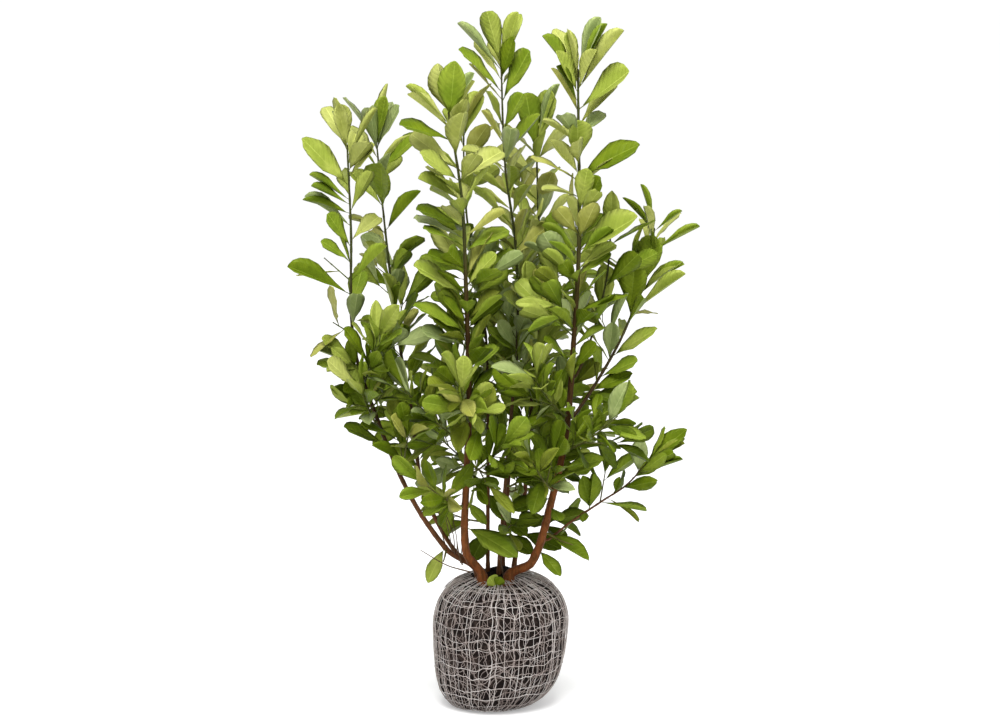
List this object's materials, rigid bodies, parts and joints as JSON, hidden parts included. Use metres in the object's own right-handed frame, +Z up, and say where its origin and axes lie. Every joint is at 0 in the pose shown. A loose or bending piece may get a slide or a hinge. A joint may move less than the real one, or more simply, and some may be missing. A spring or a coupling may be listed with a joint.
{
  "type": "cherry laurel shrub with netted root ball",
  "caption": "Upright leafy evergreen shrub whose bare lower stems spread from the top of a round soil ball held in a string net.",
  "frame": {"origin": "centre of the flat underside of the root ball, on the surface that it stands on", "axes": "+Z up along the plant's height, -Y towards the picture's viewer, +X to the viewer's right"},
  "size_m": [0.9049, 0.8463, 1.5711],
  "materials": {
    "soil": "dark moist crumbly soil, matt",
    "net": "pale grey twisted string, matt",
    "bark": "smooth reddish brown bark with fine pale pores",
    "leaf": "leathery leaf, satin above and paler below"
  },
  "bodies": {
    "root": {"root_ball": "soil", "net": "net", "front_stem": "bark", "front_right_stem": "bark", "left_outer_stem": "bark", "left_inner_stem": "bark", "centre_stem": "bark", "back_right_stem": "bark", "back_left_stem": "bark", "rear_stem": "bark", "right_upper_branch": "bark", "right_inner_branch": "bark", "right_low_branch": "bark", "front_middle_leaves": "leaf", "front_top_leaves": "leaf", "front_right_middle_leaves": "leaf", "front_right_top_leaves": "leaf", "left_outer_middle_leaves": "leaf", "left_outer_top_leaves": "leaf", "left_inner_middle_leaves": "leaf", "left_inner_top_leaves": "leaf", "centre_middle_leaves": "leaf", "centre_top_leaves": "leaf", "back_right_middle_leaves": "leaf", "back_right_top_leaves": "leaf", "back_left_middle_leaves": "leaf", "back_left_top_leaves": "leaf", "rear_middle_leaves": "leaf", "rear_top_leaves": "leaf", "right_upper_leaves": "leaf", "right_inner_leaves": "leaf", "right_low_leaves": "leaf", "front_side_low_leaves": "leaf", "front_side_middle_leaves": "leaf", "front_side_left_leaves": "leaf", "front_side_high_leaves": "leaf", "front_right_foot_leaves": "leaf", "front_right_side_low_leaves": "leaf", "front_right_side_leaves": "leaf", "front_right_side_middle_leaves": "leaf", "left_outer_foot_leaves": "leaf", "left_outer_side_low_leaves": "leaf", "left_outer_side_leaves": "leaf", "left_outer_side_high_leaves": "leaf", "left_inner_side_low_leaves": "leaf", "left_inner_side_leaves": "leaf", "centre_foot_leaves": "leaf", "centre_side_low_leaves": "leaf", "centre_side_leaves": "leaf", "back_right_foot_leaves": "leaf", "back_right_side_low_leaves": "leaf", "back_right_side_leaves": "leaf", "back_left_foot_leaves": "leaf", "back_left_side_low_leaves": "leaf", "back_left_side_leaves": "leaf", "rear_side_low_leaves": "leaf", "rear_side_leaves": "leaf"}
  },
  "joints": []
}
